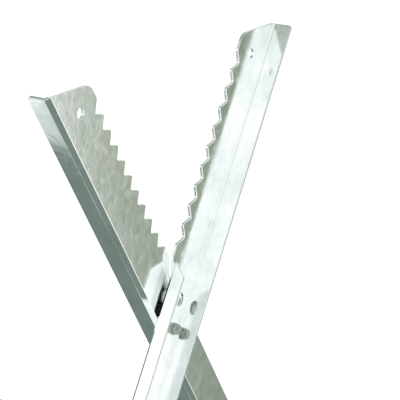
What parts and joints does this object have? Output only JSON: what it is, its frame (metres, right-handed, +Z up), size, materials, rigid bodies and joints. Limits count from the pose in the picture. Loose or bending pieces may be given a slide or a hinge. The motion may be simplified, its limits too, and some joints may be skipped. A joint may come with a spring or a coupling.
{
  "type": "folding sawhorse",
  "caption": "Folding sheet steel sawhorse whose toothed X ends hold a log, joined by rails and stopped by slotted stays.",
  "frame": {"origin": "centre of the base, on the floor", "axes": "+Z up, Y along the log from one X end to the other, X across it; the front end is at -Y"},
  "size_m": [0.7742, 0.553, 0.7969],
  "materials": {
    "zinc_sheet": "bright zinc plated, glossy, faintly mottled",
    "zinc_fastener": "bright zinc plated",
    "foot_rubber": "matte moulded rubber"
  },
  "bodies": {
    "gate_a": {"leg_a_front": "zinc_sheet", "leg_a_rear": "zinc_sheet", "rail_a_upper": "zinc_sheet", "rail_a_lower": "zinc_sheet", "rail_a_bolts": "zinc_fastener", "rail_a_nuts": "zinc_fastener", "pivot_bolt_front": "zinc_fastener", "pivot_bolt_rear": "zinc_fastener", "pivot_nut_front": "zinc_fastener", "pivot_nut_rear": "zinc_fastener", "nut_washers": "zinc_fastener", "head_washers": "zinc_fastener", "pivot_spacer_front": "zinc_fastener", "pivot_spacer_rear": "zinc_fastener", "stay_pins": "zinc_fastener", "foot_a_front": "foot_rubber", "foot_a_rear": "foot_rubber"},
    "gate_b": {"leg_b_front": "zinc_sheet", "leg_b_rear": "zinc_sheet", "rail_b_upper": "zinc_sheet", "rail_b_lower": "zinc_sheet", "rail_b_bolts": "zinc_fastener", "rail_b_nuts": "zinc_fastener", "stay_studs": "zinc_fastener", "foot_b_front": "foot_rubber", "foot_b_rear": "foot_rubber"},
    "stay_front": {"stay_front": "zinc_sheet"},
    "stay_rear": {"stay_rear": "zinc_sheet"}
  },
  "joints": [
    {"name": "fold", "type": "hinge", "parent": "gate_a", "child": "gate_b", "pos_m": [0, 0, 0.53], "axis": [0, 1, 0], "range_deg": [0, 57]},
    {"name": "stay_front_swing", "type": "hinge", "parent": "gate_a", "child": "stay_front", "pos_m": [-0.07625, -0.25, 0.41259], "axis": [0, 1, 0], "range_deg": [0, 28.5]},
    {"name": "stay_rear_swing", "type": "hinge", "parent": "gate_a", "child": "stay_rear", "pos_m": [-0.07625, 0.25, 0.41259], "axis": [0, 1, 0], "range_deg": [0, 28.5]}
  ],
  "couplings": [
    {"joint": "stay_front_swing", "follows": "fold", "ratio": 0.5},
    {"joint": "stay_rear_swing", "follows": "fold", "ratio": 0.5}
  ]
}
